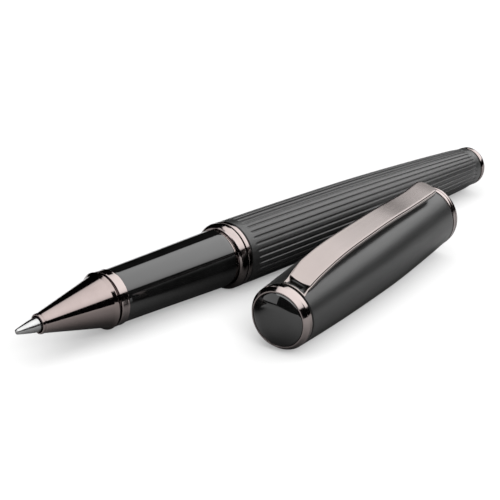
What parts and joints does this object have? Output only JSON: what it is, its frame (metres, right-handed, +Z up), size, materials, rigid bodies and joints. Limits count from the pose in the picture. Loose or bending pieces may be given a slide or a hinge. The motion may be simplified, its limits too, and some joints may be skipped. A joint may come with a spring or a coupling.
{
  "type": "rollerball pen",
  "caption": "Uncapped rollerball pen with a fluted screw-off barrel, lying behind its clipped cap.",
  "frame": {"origin": "on the table, under the middle of the box round the pen and its cap", "axes": "+X along the pen from writing tip to tail, +Y from the cap towards the pen, +Z up"},
  "size_m": [0.127, 0.0367, 0.0162],
  "materials": {
    "barrel_resin": "matte",
    "cap_resin": "satin",
    "gloss_resin": "gloss",
    "trim_metal": "polished rose gunmetal",
    "clip_metal": "satin rose gunmetal",
    "nose_metal": "polished dark gunmetal",
    "steel": "satin",
    "brass": "turned",
    "rubber": "matte",
    "grey_plastic": "satin",
    "ink": "wet fibre"
  },
  "bodies": {
    "section": {"nose_cone": "nose_metal", "collar_ring": "trim_metal", "grip_sleeve": "gloss_resin", "section_core": "brass", "section_ring": "trim_metal", "thread_connector": "brass", "thread_o_ring": "rubber"},
    "refill": {"refill_tip": "steel", "refill_holder": "grey_plastic", "refill_tube": "steel", "ink_core": "ink", "refill_plug": "grey_plastic", "refill_spring": "steel"},
    "ball": {"writing_ball": "steel"},
    "spring_seat": {"spring_cup": "brass"},
    "barrel_ring": {"barrel_ring": "trim_metal"},
    "barrel": {"barrel": "barrel_resin", "barrel_bush": "brass", "barrel_liner": "brass", "tail_plug": "grey_plastic", "tail_ring": "trim_metal", "tail_disc": "gloss_resin"},
    "cap": {"cap_shell": "cap_resin", "cap_liner": "brass", "inner_cap": "grey_plastic", "cap_head_plug": "brass", "cap_mouth_ring": "trim_metal", "finial_ring": "trim_metal", "finial_dome": "gloss_resin", "finial_screw": "steel", "clip_bracket": "steel"},
    "clip": {"clip": "clip_metal"}
  },
  "joints": [
    {"name": "refill_float", "type": "slide", "parent": "section", "child": "refill", "axis": [1, 0, -0.0052], "range_m": [0, 0.001], "stiffness_N_per_m": 300, "deforming": ["refill_spring"]},
    {"name": "ball_roll", "type": "hinge", "parent": "refill", "child": "ball", "pos_m": [-0.06312, 0.01206, 0.00651], "axis": [0, 1, 0], "continuous": true},
    {"name": "thread_advance", "type": "slide", "parent": "section", "child": "spring_seat", "axis": [1, 0, -0.0052], "range_m": [0, 0.006]},
    {"name": "barrel_pull_off", "type": "slide", "parent": "spring_seat", "child": "barrel_ring", "axis": [1, 0, -0.0052], "range_m": [0, 0.075]},
    {"name": "barrel_turn", "type": "hinge", "parent": "barrel_ring", "child": "barrel", "pos_m": [-0.01568, 0.01206, 0.00626], "axis": [1, 0, -0.0052], "range_deg": [0, 1800]},
    {"name": "cap_draw", "type": "slide", "parent": "section", "child": "cap", "axis": [-0.9845, -0.1754, 0], "range_m": [0, 0.06]},
    {"name": "clip_flex", "type": "hinge", "parent": "cap", "child": "clip", "pos_m": [-0.02678, -0.01409, 0.01213], "axis": [0.1752, -0.9499, -0.2588], "range_deg": [0, 3.5], "stiffness_Nm_per_rad": 2}
  ],
  "couplings": [
    {"joint": "barrel_turn", "follows": "thread_advance", "rad_per_m": 5236}
  ]
}
